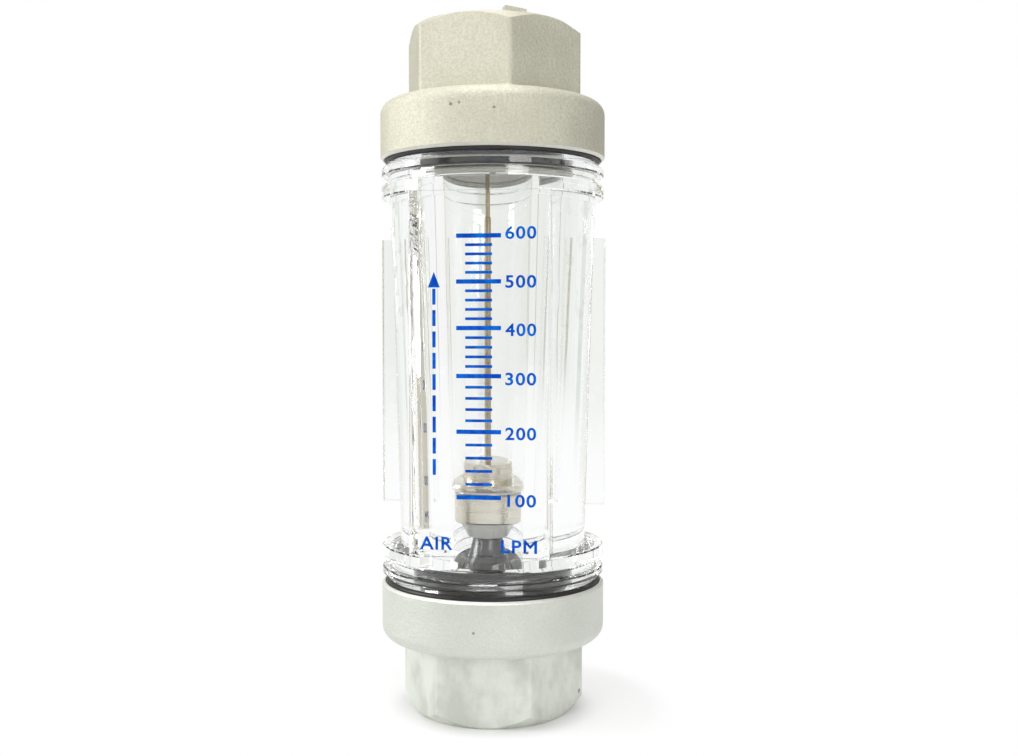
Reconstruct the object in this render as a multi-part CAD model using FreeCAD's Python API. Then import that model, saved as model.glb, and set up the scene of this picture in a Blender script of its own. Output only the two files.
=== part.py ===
"""Clear-bodied variable-area flow meter with two cast screwed end fittings.

The meter stands upright on its inlet fitting. Z is the flow axis and points up, Z = 0 is the
end face of the inlet fitting, and the flat scale window faces -Y. All sizes are millimetres.
"""
import FreeCAD, Part
import math
import os

V = FreeCAD.Vector
UP = V(0, 0, 1)
ORIGIN = V(0, 0, 0)

# ---------------------------------------------------------------- driving dimensions
# Cast end fittings: a hexagon for the spanner and a round collar, in one casting
hex_across_flats = 42.5
hex_height = 19.65
hex_corner_radius = 1.4
inlet_nose_angle = 45.0        # slope of the cone that breaks each hexagon's outer corners
outlet_nose_angle = 37.0
hex_nose_margin = 0.35         # flat end face's radius, short of the hexagon's flats
collar_ledge = 5.46            # how far the collar stands out beyond the hexagon's corners
collar_height = 15.2
collar_shoulder_radius = 3.4
collar_rim_chamfer = 0.7
root_fillet = 1.2              # where the hexagon grows out of the collar's shoulder
inlet_hex_turn = 31.4          # degrees, where each casting came to rest when tightened
outlet_hex_turn = 18.5

# Parallel bore at the major diameter of the one-inch female pipe thread, and the passage
pipe_bore_radius = 16.65
pipe_mouth_chamfer = 0.9
passage_radius = 13.4
floor_thickness = 4.25
cup_floor_rise = 2.0           # floor of the body's cup above the collar's shoulder

# Foundry gate stub left on the outlet's end face
gate_stub_width = 5.6
gate_stub_depth = 2.6
gate_stub_height = 1.3
gate_stub_slope = 0.6          # how much lower its far end is broken off
gate_stub_root = 0.5           # how deep it is rooted in the end face
gate_stub_land = 0.6           # metal left between it and the pipe mouth
gate_stub_turn = 24.7          # degrees round from -Y

# Clear moulded body
clear_span = 112.5             # length of body seen between the two collars
neck_inset = 3.0               # wall of the collar's threaded cup
neck_lead = 1.2
thread_clearance = 0.1
ring_inset = 0.2               # rings end just inside the collars
ring_thickness = 3.4
ring_groove = 2.5
ring_groove_depth = 2.2
ring_edge = 0.35
outer_ring_chamfer = 1.7       # on the outer rings, towards the collars
joint_gap = 1.0                # between each collar's face and the nearest ring
tube_inset_low = 4.9           # how far the tube's outside lies inside the rings
tube_inset_high = 2.3
bore_radius_low = 14.9
bore_radius_high = 18.7
bore_land = 0.2                # parallel part of the bore at its top
window_width = 36.0
window_inset = 5.0             # how far the flat window lies inside the rings
window_edge = 0.5
ring_flat_step = 0.8           # how far the inner rings stand proud of the window
wing_thickness = 3.5
wing_overreach = 0.5           # how far the wings stand out beyond the rings
wing_length = 71.0
wing_edge_radius = 0.4

# Seals
seal_section = 0.88            # radius of the rubber ring's section
seal_fit = 0.07
gasket_thickness = 1.0
gasket_margin = 0.6

# Seats of the two rod holders in the body, and what the holders share
neck_wall = 5.4                # left between each neck's outside and its seat
seat_depth = 18.1              # from the body's end face to the shoulder
shoulder_seal_section = 0.85   # radius of the rubber ring between shoulder and rim
holder_slip = 0.15
rim_wall = 2.2
vane_count = 3
vane_thickness = 2.2

# Inlet rod holder, an investment casting with three vanes and a bell
vane_foot = 2.5                # how far the vanes stand in from the rim's foot
vane_set_down = 0.8            # and from its head
inlet_vane_turn = 30.0
bell_rise = 5.9                # bell's top above the body's inner shoulder
bell_neck_radius = 6.2
bell_mid_radius = 7.7          # the flare is hollow: it opens faster towards its skirt
bell_mid_drop = 3.8
bell_radius = 11.5
bell_drop = 8.6
bell_parallel = 3.6
hub_foot_radius = 5.6
hub_foot_rise = 4.2            # above the casting's floor

# Outlet rod holder: the same rim, three arms and a hub with a nose
outlet_nose_rise = 2.3         # from the shoulder up to the nose that stops the float
outlet_nose_radius = 1.6
outlet_nose_length = 1.6
outlet_hub_radius = 4.6
outlet_hub_taper = 2.0         # height of the cone between hub and nose
outlet_arm_height = 4.0
outlet_arm_turn = 90.0

# Guide rod, stops and its two nuts
rod_radius = 1.35
rod_end_radius = 0.9
rod_step_drop = 9.4            # below the outlet shoulder
rod_hole_clearance = 0.05
stop_radius = 5.8
stop_height = 0.8
stop_edge = 0.2
rod_tip_chamfer = 0.3
nut_across_flats = 5.5
nut_height = 2.4
nut_bevel = 0.35
washer_radius = 3.6
washer_thickness = 0.6
rod_overrun = 1.2              # rod left standing beyond each nut

# Float
float_slip = 0.07              # radial running clearance on the rod
float_boss_inset = 4.95
float_boss_height = 4.9
float_head_gap = 0.35          # metering head's radius beyond the bore's narrow end
float_head_height = 1.7
float_head_edge = 0.6
float_groove_inset = 1.95
float_groove_height = 0.7
float_barrel_inset = 1.15      # barrel, boss and groove below the metering head's radius
float_barrel_height = 7.7
float_barrel_edge = 0.4
float_skirt_inset = 2.95
float_skirt_height = 4.5
float_foot_inset = 6.55

# ---------------------------------------------------------------- derived radii and levels
hex_corner = hex_across_flats / math.sqrt(3)
hex_nose_start = hex_across_flats / 2 - hex_nose_margin
collar_radius = hex_corner + collar_ledge
neck_radius = collar_radius - neck_inset
seat_radius = neck_radius - neck_wall
ring_radius = collar_radius - ring_inset
groove_radius = ring_radius - ring_groove_depth
tube_radius_low = ring_radius - tube_inset_low
tube_radius_high = ring_radius - tube_inset_high
window_face = ring_radius - window_inset
wing_reach = ring_radius + wing_overreach
fitting_height = hex_height + collar_height
total_height = 2 * fitting_height + clear_span
floor_level = hex_height + cup_floor_rise
pipe_bore_depth = floor_level - floor_thickness
body_foot = floor_level + gasket_thickness
body_head = total_height - body_foot
ring_pitch = ring_thickness + ring_groove
lower_ring_level = fitting_height + joint_gap
inner_ring_foot = lower_ring_level + ring_pitch
tube_foot = inner_ring_foot + ring_thickness
tube_head = total_height - tube_foot
inlet_seat_level = body_foot + seat_depth
outlet_seat_level = body_head - seat_depth
bore_top_level = outlet_seat_level - bore_land
rod_step_level = outlet_seat_level - rod_step_drop
hub_foot_level = floor_level + hub_foot_rise
bell_top_level = inlet_seat_level + bell_rise
neck_bore_radius = neck_radius + thread_clearance
bell_foot_level = bell_top_level - bell_drop
float_rest_level = bell_top_level + stop_height
float_head_radius = bore_radius_low + float_head_gap
float_groove_radius = float_head_radius - float_groove_inset
float_barrel_radius = float_head_radius - float_barrel_inset
float_boss_radius = float_head_radius - float_boss_inset
float_skirt_radius = float_head_radius - float_skirt_inset
float_foot_radius = float_head_radius - float_foot_inset
float_height = (float_boss_height + float_head_height + float_groove_height
                + float_barrel_height + float_skirt_height)
rim_head = inlet_seat_level - 2 * shoulder_seal_section
outlet_nose_level = outlet_seat_level + outlet_nose_rise
outlet_hub_foot = outlet_nose_level + outlet_nose_length
outlet_arm_foot = outlet_hub_foot + outlet_hub_taper
float_travel = outlet_nose_level - float_rest_level - float_height


# ---------------------------------------------------------------- helpers
def turned(points):
    """Solid of revolution about Z from an outline of (radius, level) points."""
    corners = [V(r, 0, z) for r, z in points]
    face = Part.Face(Part.makePolygon(corners + [corners[0]]))
    return face.revolve(ORIGIN, UP, 360)


def turned_wire(edges):
    """Solid of revolution about Z from a closed outline of edges in the XZ plane."""
    return Part.Face(Part.Wire(edges)).revolve(ORIGIN, UP, 360)


def tube(inner, outer, foot, head):
    return turned([(inner, foot), (outer, foot), (outer, head), (inner, head)])


def rod(radius, foot, head):
    return Part.makeCylinder(radius, head - foot, V(0, 0, foot))


def block(low, high):
    size = high.sub(low)
    return Part.makeBox(size.x, size.y, size.z, low)


def turn(shape, degrees):
    moved = shape.copy()
    moved.rotate(ORIGIN, UP, degrees)
    return moved


def flipped(shape):
    """The same piece turned upside down about the meter's mid height."""
    moved = shape.copy()
    moved.rotate(V(0, 0, total_height / 2), V(1, 0, 0), 180)
    return moved


def hex_prism(across_flats, foot, head):
    circumradius = across_flats / math.sqrt(3)
    angles = [math.radians(60 * i) for i in range(7)]
    corners = [V(circumradius * math.sin(a), -circumradius * math.cos(a), foot) for a in angles]
    return Part.Face(Part.makePolygon(corners)).extrude(V(0, 0, head - foot))


def upright_edges(shape):
    """The edges of a prism that run along Z."""
    return [e for e in shape.Edges
            if len(e.Vertexes) == 2
            and abs(e.Vertexes[0].Z - e.Vertexes[1].Z) > 0.9 * e.Length]


def edges_at(level, shape, within):
    """The edges of a shape that lie flat at a level, inside a radius."""
    return [e for e in shape.Edges
            if abs(e.BoundBox.ZMin - level) < 0.01 and abs(e.BoundBox.ZMax - level) < 0.01
            and max(math.hypot(v.X, v.Y) for v in e.Vertexes) < within]


# ---------------------------------------------------------------- cast end fittings
def casting_hexagon(nose_angle):
    prism = hex_prism(hex_across_flats, 0, hex_height + collar_shoulder_radius)
    prism = prism.makeFillet(hex_corner_radius, upright_edges(prism))
    corner = hex_across_flats / math.sqrt(3) + 1
    nose_rise = (corner - hex_nose_start) * math.tan(math.radians(nose_angle))
    nose = turned([(0, 0), (hex_nose_start, 0), (corner, nose_rise),
                   (corner, hex_height + collar_shoulder_radius),
                   (0, hex_height + collar_shoulder_radius)])
    return prism.common(nose)


def casting_collar():
    shoulder = hex_height
    rim = fitting_height
    r = collar_shoulder_radius
    c = collar_rim_chamfer
    centre = V(collar_radius - r, 0, shoulder + r)
    knee = centre.add(V(math.sin(math.radians(45)) * r, 0, -math.cos(math.radians(45)) * r))
    low = V(collar_radius - r, 0, shoulder)
    side = V(collar_radius, 0, shoulder + r)
    chamfer_foot = V(collar_radius, 0, rim - c)
    chamfer_head = V(collar_radius - c, 0, rim)
    top = V(0, 0, rim)
    foot = V(0, 0, shoulder)
    return turned_wire([
        Part.LineSegment(foot, low).toShape(),
        Part.Arc(low, knee, side).toShape(),
        Part.LineSegment(side, chamfer_foot).toShape(),
        Part.LineSegment(chamfer_foot, chamfer_head).toShape(),
        Part.LineSegment(chamfer_head, top).toShape(),
        Part.LineSegment(top, foot).toShape()])


def casting_bores():
    """Pipe thread, passage, and the threaded cup that takes the body's neck."""
    mouth = pipe_bore_radius + pipe_mouth_chamfer
    rim = fitting_height
    seal_centre = neck_radius + seal_section + seal_fit
    seal_level = lower_ring_level - seal_section
    # the cup's mouth is countersunk at 45 degrees until it touches the seal's round section
    cup_mouth = seal_centre + (rim - seal_level) + seal_section * math.sqrt(2)
    cone_foot = rim - (cup_mouth - neck_bore_radius)
    return turned([
        (0, 0), (mouth, 0), (pipe_bore_radius, pipe_mouth_chamfer),
        (pipe_bore_radius, pipe_bore_depth), (passage_radius, pipe_bore_depth),
        (passage_radius, floor_level), (neck_bore_radius, floor_level),
        (neck_bore_radius, cone_foot), (cup_mouth, rim), (0, rim)])


def end_fitting(hex_turn, nose_angle):
    """Inlet fitting as it stands, hexagon down, with the hexagon turned about Z."""
    hexagon = turn(casting_hexagon(nose_angle), hex_turn)
    blank = hexagon.fuse(casting_collar()).removeSplitter()
    roots = edges_at(hex_height, blank, within=hex_across_flats / math.sqrt(3))
    return blank.makeFillet(root_fillet, roots).cut(casting_bores())


def gate_stub():
    """Low stub of the foundry gate on the outlet's end face, beside a hexagon corner."""
    inner = pipe_bore_radius + pipe_mouth_chamfer + gate_stub_land
    half = gate_stub_width / 2
    head = total_height + gate_stub_height
    outline = [V(-half, -inner, total_height - gate_stub_root), V(-half, -inner, head),
               V(half, -inner, head - gate_stub_slope),
               V(half, -inner, total_height - gate_stub_root)]
    stub = Part.Face(Part.makePolygon(outline + [outline[0]])).extrude(V(0, -gate_stub_depth, 0))
    return turn(stub, gate_stub_turn)


# ---------------------------------------------------------------- clear body
def body_outline():
    """Outside of the moulded body: necks, rings with their groove, and the tapered tube."""
    half = [(0, body_foot), (neck_radius - neck_lead, body_foot),
            (neck_radius, body_foot + neck_lead), (neck_radius, lower_ring_level)]
    for foot, lead in ((lower_ring_level, outer_ring_chamfer), (inner_ring_foot, ring_edge)):
        head = foot + ring_thickness
        half += [(ring_radius - lead, foot), (ring_radius, foot + lead),
                 (ring_radius, head - ring_edge), (ring_radius - ring_edge, head)]
        if foot == lower_ring_level:
            half += [(groove_radius, head), (groove_radius, head + ring_groove)]
    mirrored = [(r, total_height - z) for r, z in reversed(half)]
    waist = [(tube_radius_low, tube_foot), (tube_radius_high, tube_head)]
    return half + waist + mirrored


def body_bore():
    """Inlet seat, tapered metering bore and outlet seat, cut in one go."""
    past = 1.0
    return turned([
        (0, body_foot - past), (seat_radius, body_foot - past),
        (seat_radius, inlet_seat_level), (bore_radius_low, inlet_seat_level),
        (bore_radius_high, bore_top_level), (bore_radius_high, outlet_seat_level),
        (seat_radius, outlet_seat_level), (seat_radius, body_head + past),
        (0, body_head + past)])


def window_pad():
    half = window_width / 2
    pad = block(V(-half, -window_face, tube_foot), V(half, -bore_radius_high / 2, tube_head))
    front = [e for e in upright_edges(pad) if e.CenterOfMass.y < -window_face + 0.01]
    return pad.makeFillet(window_edge, front)


def window_relief():
    """What is cut away in front of the window, and the shallower flats on the inner rings."""
    half = window_width / 2
    reach = ring_radius + 5
    window = block(V(-half, -reach, tube_foot), V(half, -window_face, tube_head))
    flat = window_face + ring_flat_step
    lower = block(V(-half, -reach, inner_ring_foot), V(half, -flat, tube_foot))
    upper = block(V(-half, -reach, tube_head), V(half, -flat, tube_head + ring_thickness))
    return window.fuse([lower, upper])


def side_wings():
    half = wing_thickness / 2
    middle = total_height / 2
    plate = block(V(-wing_reach, -half, middle - wing_length / 2),
                  V(wing_reach, half, middle + wing_length / 2))
    return plate.makeFillet(wing_edge_radius, upright_edges(plate))


def meter_body():
    blank = turned(body_outline())
    blank = blank.fuse([window_pad(), side_wings()])
    return blank.cut(window_relief()).cut(body_bore()).removeSplitter()


# ---------------------------------------------------------------- seals and gaskets
def neck_seal():
    """Rubber ring in the countersunk mouth of the cup, pressed against the lower ring."""
    centre = neck_radius + seal_section + seal_fit
    level = lower_ring_level - seal_section
    return Part.makeTorus(centre, seal_section, V(0, 0, level), UP)


def shoulder_seal():
    """Rubber ring between the body's inner shoulder and the rod holder's rim."""
    return Part.makeTorus(seat_radius - shoulder_seal_section, shoulder_seal_section,
                          V(0, 0, rim_head + shoulder_seal_section), UP)


def end_gasket():
    """Flat gasket between the casting's floor and the moulded end face."""
    return tube(seat_radius + gasket_margin, neck_radius - neck_lead - gasket_margin,
                floor_level, body_foot)


# ---------------------------------------------------------------- rod holders
def arms(inner, outer, foot, head, turn_by):
    """Radial plates between two radii, shared out evenly round the axis."""
    plate = block(V(inner, -vane_thickness / 2, foot), V(outer + 1, vane_thickness / 2, head))
    plate = plate.common(rod(outer, foot, head))
    step = 360 / vane_count
    return [turn(plate, turn_by + step * i) for i in range(vane_count)]


def inlet_hub():
    """Bell that carries the lower stop, with a slim tail into the stream."""
    crown = V(bell_neck_radius, 0, bell_top_level)
    middle = V(bell_mid_radius, 0, bell_top_level - bell_mid_drop)
    skirt = V(bell_radius, 0, bell_foot_level)
    waist = V(bell_radius, 0, bell_foot_level - bell_parallel)
    tail = V(hub_foot_radius, 0, hub_foot_level)
    hole = rod_radius + rod_hole_clearance
    inner_foot = V(hole, 0, hub_foot_level)
    inner_head = V(hole, 0, bell_top_level)
    return turned_wire([
        Part.Arc(crown, middle, skirt).toShape(),
        Part.LineSegment(skirt, waist).toShape(),
        Part.LineSegment(waist, tail).toShape(),
        Part.LineSegment(tail, inner_foot).toShape(),
        Part.LineSegment(inner_foot, inner_head).toShape(),
        Part.LineSegment(inner_head, crown).toShape()])


def holder_rim():
    """Sleeve that seats each holder, standing on the casting's floor."""
    outer = seat_radius - holder_slip
    return tube(outer - rim_wall, outer, floor_level, rim_head)


def inlet_rod_holder():
    vanes = arms(hub_foot_radius - 1, seat_radius - holder_slip - rim_wall / 2,
                 floor_level + vane_foot, rim_head - vane_set_down, inlet_vane_turn)
    keep_clear = rod(rod_radius + rod_hole_clearance, hub_foot_level - 1, bell_top_level + 1)
    return inlet_hub().fuse([holder_rim()] + vanes).cut(keep_clear).removeSplitter()


def outlet_rod_holder():
    head = outlet_arm_foot + outlet_arm_height
    hub = turned([
        (0, outlet_nose_level), (outlet_nose_radius, outlet_nose_level),
        (outlet_nose_radius, outlet_hub_foot), (outlet_hub_radius, outlet_arm_foot),
        (outlet_hub_radius, head), (0, head)])
    spokes = arms(outlet_hub_radius - 1, seat_radius - holder_slip - rim_wall / 2,
                  outlet_arm_foot, head, outlet_arm_turn)
    hole = rod(rod_end_radius + rod_hole_clearance, outlet_nose_level - 1, total_height)
    return hub.fuse([flipped(holder_rim())] + spokes).cut(hole).removeSplitter()


# ---------------------------------------------------------------- rod, stop and fasteners
def lower_washer_level():
    return hub_foot_level - washer_thickness


def upper_washer_level():
    return outlet_arm_foot + outlet_arm_height


def guide_rod():
    foot = lower_washer_level() - nut_height - rod_overrun
    head = upper_washer_level() + washer_thickness + nut_height + rod_overrun
    tip = rod_tip_chamfer
    return turned([
        (0, foot), (rod_radius - tip, foot), (rod_radius, foot + tip),
        (rod_radius, rod_step_level - tip), (rod_end_radius, rod_step_level),
        (rod_end_radius, head - tip), (rod_end_radius - tip, head), (0, head)])


def lower_stop():
    hole = rod_radius + rod_hole_clearance
    head = float_rest_level
    return turned([
        (hole, bell_top_level), (stop_radius, bell_top_level), (stop_radius, head - stop_edge),
        (stop_radius - stop_edge, head), (hole, head)])


def hex_nut(hole, foot):
    """Plain nut with both faces broken at the corners."""
    head = foot + nut_height
    corner = nut_across_flats / math.sqrt(3)
    envelope = turned([
        (hole, foot), (corner - nut_bevel, foot), (corner, foot + nut_bevel),
        (corner, head - nut_bevel), (corner - nut_bevel, head), (hole, head)])
    return hex_prism(nut_across_flats, foot, head).common(envelope)


def washer(hole, foot):
    return tube(hole, washer_radius, foot, foot + washer_thickness)


# ---------------------------------------------------------------- float
def float_body():
    """Turned float at rest on the lower stop: skirt, barrel, metering head and boss."""
    hole = rod_radius + float_slip
    level = float_rest_level
    skirt_head = level + float_skirt_height
    barrel_head = skirt_head + float_barrel_height
    groove_head = barrel_head + float_groove_height
    head_top = groove_head + float_head_height
    boss_top = head_top + float_boss_height
    e = float_head_edge
    small = float_barrel_edge
    return turned([
        (hole, level), (float_foot_radius, level), (float_skirt_radius, skirt_head),
        (float_barrel_radius - small, skirt_head), (float_barrel_radius, skirt_head + small),
        (float_barrel_radius, barrel_head - small), (float_barrel_radius - small, barrel_head),
        (float_groove_radius, barrel_head), (float_groove_radius, groove_head),
        (float_head_radius - e, groove_head), (float_head_radius, groove_head + e),
        (float_head_radius, head_top - e), (float_head_radius - e, head_top),
        (float_boss_radius, head_top), (float_boss_radius, boss_top - e),
        (float_boss_radius - e, boss_top), (hole, boss_top)])


# ---------------------------------------------------------------- build and write
def build():
    outlet = flipped(end_fitting(-outlet_hex_turn, outlet_nose_angle)).fuse(gate_stub()).removeSplitter()
    rod_fit = rod_radius + rod_hole_clearance
    end_fit = rod_end_radius + rod_hole_clearance
    lower_nut = hex_nut(rod_fit, lower_washer_level() - nut_height)
    upper_nut = hex_nut(end_fit, upper_washer_level() + washer_thickness)
    return {
        "inlet_fitting": end_fitting(inlet_hex_turn, inlet_nose_angle),
        "outlet_fitting": outlet,
        "meter_body": meter_body(),
        "inlet_neck_seal": neck_seal(),
        "outlet_neck_seal": flipped(neck_seal()),
        "inlet_shoulder_seal": shoulder_seal(),
        "outlet_shoulder_seal": flipped(shoulder_seal()),
        "inlet_end_gasket": end_gasket(),
        "outlet_end_gasket": flipped(end_gasket()),
        "inlet_rod_holder": inlet_rod_holder(),
        "outlet_rod_holder": outlet_rod_holder(),
        "guide_rod": guide_rod(),
        "lower_float_stop": lower_stop(),
        "lower_rod_nut": lower_nut,
        "lower_rod_washer": washer(rod_fit, lower_washer_level()),
        "upper_rod_nut": upper_nut,
        "upper_rod_washer": washer(end_fit, upper_washer_level()),
        "float_body": float_body(),
    }


os.makedirs("parts", exist_ok=True)
for name, shape in build().items():
    solid = shape.Solids[0] if len(shape.Solids) == 1 else shape
    print(f"{name:20s} solids {len(shape.Solids)} volume {shape.Volume / 1000:8.2f} cm3 "
          f"valid {shape.isValid()} z {shape.BoundBox.ZMin:7.2f} to {shape.BoundBox.ZMax:7.2f}")
    solid.exportStep(f"parts/{name}.step")
print(f"height {total_height:.1f} mm, float travel {float_travel:.2f} mm")
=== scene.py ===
# %% [markdown]
# # A clear-bodied rotameter
# The meter is a clear moulded tube screwed between two cast steel pipe ends. A turned steel float
# slides on a rod inside it, in front of a printed scale. The more air flows up the tapered tube,
# the higher the float rides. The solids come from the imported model. This script gives them their
# finish, adds the print and the pipe threads, and sets up a plain pale studio round them.

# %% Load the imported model
import bpy
import math
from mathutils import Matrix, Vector


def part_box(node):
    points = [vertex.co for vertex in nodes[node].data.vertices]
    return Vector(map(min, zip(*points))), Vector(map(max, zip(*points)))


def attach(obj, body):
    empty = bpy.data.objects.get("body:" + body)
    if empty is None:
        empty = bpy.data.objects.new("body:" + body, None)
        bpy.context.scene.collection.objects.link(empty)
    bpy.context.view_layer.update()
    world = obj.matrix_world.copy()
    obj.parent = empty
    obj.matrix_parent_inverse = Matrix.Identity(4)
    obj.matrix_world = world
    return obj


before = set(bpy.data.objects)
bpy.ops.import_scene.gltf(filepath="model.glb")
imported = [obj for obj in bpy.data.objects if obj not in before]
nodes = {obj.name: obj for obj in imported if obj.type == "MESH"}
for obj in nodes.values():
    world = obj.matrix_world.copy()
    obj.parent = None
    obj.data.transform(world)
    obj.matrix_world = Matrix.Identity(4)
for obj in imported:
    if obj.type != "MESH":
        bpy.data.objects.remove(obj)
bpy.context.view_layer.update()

scene = bpy.context.scene
scene.view_settings.view_transform = "Standard"
bpy.ops.object.select_all(action="DESELECT")

# %% [markdown]
# ## Shared measures
# Sizes are written in millimetres and multiplied by `mm`, because Blender works in metres. The
# body is the same at both ends, so its foot and head add up to the height of the whole meter.

# %% Shared measures
mm = 0.001
body_low, body_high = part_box("meter_body")
total_height = body_low[2] + body_high[2]
print("height", round(total_height, 4))

# %% [markdown]
# ## Finishes
# Every finish is procedural: noise and waves on the object's own coordinates drive a Principled
# shader. A painted picture could do the same, but it would need unwrapping and would blur close
# up. Node trees get long when they are typed out one by one, so small helpers come first. This
# pair starts a material, and sets a socket to a number or colour or links it.


# %% Start a material
def new_material(name):
    material = bpy.data.materials.new(name)
    material.use_nodes = True
    tree = material.node_tree
    tree.nodes.clear()
    shader = tree.nodes.new("ShaderNodeBsdfPrincipled")
    output = tree.nodes.new("ShaderNodeOutputMaterial")
    tree.links.new(shader.outputs["BSDF"], output.inputs["Surface"])
    place = tree.nodes.new("ShaderNodeTexCoord").outputs["Object"]
    return material, tree, shader, place


def feed(tree, socket, value):
    """Link a socket, or set it to a colour or a number."""
    if isinstance(value, bpy.types.NodeSocket):
        tree.links.new(value, socket)
    elif isinstance(value, tuple):
        socket.default_value = (*value, 1)
    else:
        socket.default_value = value


print("helpers to start a material")

# %% [markdown]
# ### Sums, grades and bumps
# A finish is built from shares between 0 and 1, such as how far a spot is inside the bore. `calc`
# is one step of arithmetic, `grade` turns a distance or a noise into a share with soft edges,
# `blend` mixes two colours by a share, and `bump` turns a height into relief. Each returns the
# socket that carries its result, so the steps can be written one inside the other.


# %% Helpers for sums
def calc(tree, operation, *values):
    made = tree.nodes.new("ShaderNodeMath")
    made.operation = operation
    for socket, value in zip(made.inputs, values):
        feed(tree, socket, value)
    return made.outputs[0]


def grade(tree, value, low, high, start=0.0, end=1.0):
    """Map a value smoothly from low..high to start..end."""
    made = tree.nodes.new("ShaderNodeMapRange")
    made.interpolation_type = "SMOOTHSTEP"
    for socket, number in zip(made.inputs, (value, low, high, start, end)):
        feed(tree, socket, number)
    return made.outputs[0]


print("helpers for sums and shares")


# %% Helpers for colours and relief
def blend(tree, factor, first, second):
    """Mix two colours: the first at 0, the second at 1."""
    made = tree.nodes.new("ShaderNodeMix")
    made.data_type = "RGBA"
    feed(tree, made.inputs["Factor"], factor)
    feed(tree, made.inputs["A"], first)
    feed(tree, made.inputs["B"], second)
    return made.outputs["Result"]


def tinted(color, share):
    """A colour made darker or lighter."""
    return tuple(part * share for part in color)


def bump(tree, height, depth, strength=1.0, normal=None):
    """Relief of a given depth in metres, laid over an earlier relief if there is one."""
    made = tree.nodes.new("ShaderNodeBump")
    made.inputs["Strength"].default_value = strength
    made.inputs["Distance"].default_value = depth
    tree.links.new(height, made.inputs["Height"])
    if normal is not None:
        tree.links.new(normal, made.inputs["Normal"])
    return made.outputs["Normal"]


print("helpers for colours and relief")

# %% [markdown]
# ### Patterns on the meter
# Noise gives patches and grain, and a stretched copy of the coordinates draws it out into lines.
# Most parts of the meter are turned or bored round one axis, so the distance from that axis and
# the height say where on a part a spot is.


# %% Helpers for patterns
def stretch(tree, place, scale):
    """Scale coordinates: a small number draws a pattern out along that axis."""
    made = tree.nodes.new("ShaderNodeVectorMath")
    made.operation = "MULTIPLY"
    tree.links.new(place, made.inputs[0])
    made.inputs[1].default_value = scale
    return made.outputs[0]


def noise(tree, place, scale, detail=3.0, roughness=0.5):
    made = tree.nodes.new("ShaderNodeTexNoise")
    tree.links.new(place, made.inputs["Vector"])
    made.inputs["Scale"].default_value = scale
    made.inputs["Detail"].default_value = detail
    made.inputs["Roughness"].default_value = roughness
    return made.outputs["Fac"]


def axis_radius(tree, place):
    """Distance from the meter's axis, and the height."""
    parts = tree.nodes.new("ShaderNodeSeparateXYZ")
    tree.links.new(place, parts.inputs[0])
    length = tree.nodes.new("ShaderNodeVectorMath")
    length.operation = "LENGTH"
    tree.links.new(stretch(tree, place, (1, 1, 0)), length.inputs[0])
    return length.outputs["Value"], parts.outputs["Z"]


print("helpers for patterns")


# %% Dress the nodes
def dress(names, material):
    """Give one material to each of the named nodes."""
    for name in names.split():
        mesh = nodes[name].data
        for index in range(len(mesh.materials)):
            mesh.materials[index] = material
        if not mesh.materials:
            mesh.materials.append(material)
        print(name, "in", material.name)


print("helper that gives nodes a material")

# %% [markdown]
# ## Cast steel: where it is machined
# The two pipe ends are sand castings. Their skin is left as cast, except where something has to
# fit: the bore, the end face, the inside of the cup that takes the body, and the rim by the seal,
# which is faced off and is also painted lighter, a painted highlight along its edge.
# Each could be a material of its own on chosen faces, but a node's mesh stays as it is, so the
# machined places are worked out from the radius and the height instead. The cup of the upper
# casting opens down (-1) and that of the lower one up (1).

# %% Machined places of a casting
mouth_radius = 17.65 * mm
cup_radius = 28.70 * mm
# a little under the gasket, so that the floor it lies on counts as machined
cup_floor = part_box("inlet_end_gasket")[0][2] - 0.05 * mm
cup_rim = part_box("inlet_fitting")[1][2]


def from_own_end(level, cup_side):
    """Turn a height above the casting's own end into a height above the meter's foot."""
    return total_height - level if cup_side < 0 else level


def machined_share(tree, radius, height, end_level, cup_side):
    """The bore, the end face and the inside of the cup."""
    in_bore = grade(tree, radius, mouth_radius + 0.25 * mm, mouth_radius)
    to_end = calc(tree, "ABSOLUTE", calc(tree, "SUBTRACT", height, end_level))
    at_end = grade(tree, to_end, 0.12 * mm, 0.04 * mm)
    above_floor = calc(tree, "SUBTRACT", height, from_own_end(cup_floor, cup_side))
    past_floor = calc(tree, "MULTIPLY", above_floor, cup_side)
    in_cup = calc(tree, "MULTIPLY", grade(tree, past_floor, -0.1 * mm, 0.1 * mm),
                  grade(tree, radius, cup_radius + 0.1 * mm, cup_radius))
    return calc(tree, "MAXIMUM", calc(tree, "MAXIMUM", in_bore, at_end), in_cup)


def faced_rim_highlight(tree, radius, height, cup_side):
    """The rim of the cup, which is faced off and carries a painted highlight."""
    above_rim = calc(tree, "SUBTRACT", height, from_own_end(cup_rim, cup_side))
    to_rim = calc(tree, "ABSOLUTE", above_rim)
    return calc(tree, "MULTIPLY", grade(tree, to_rim, 0.75 * mm, 0.55 * mm),
                grade(tree, radius, cup_radius - 0.1 * mm, cup_radius + 0.2 * mm))


print("cup floor", round(cup_floor, 5), "rim", round(cup_rim, 5))
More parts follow.
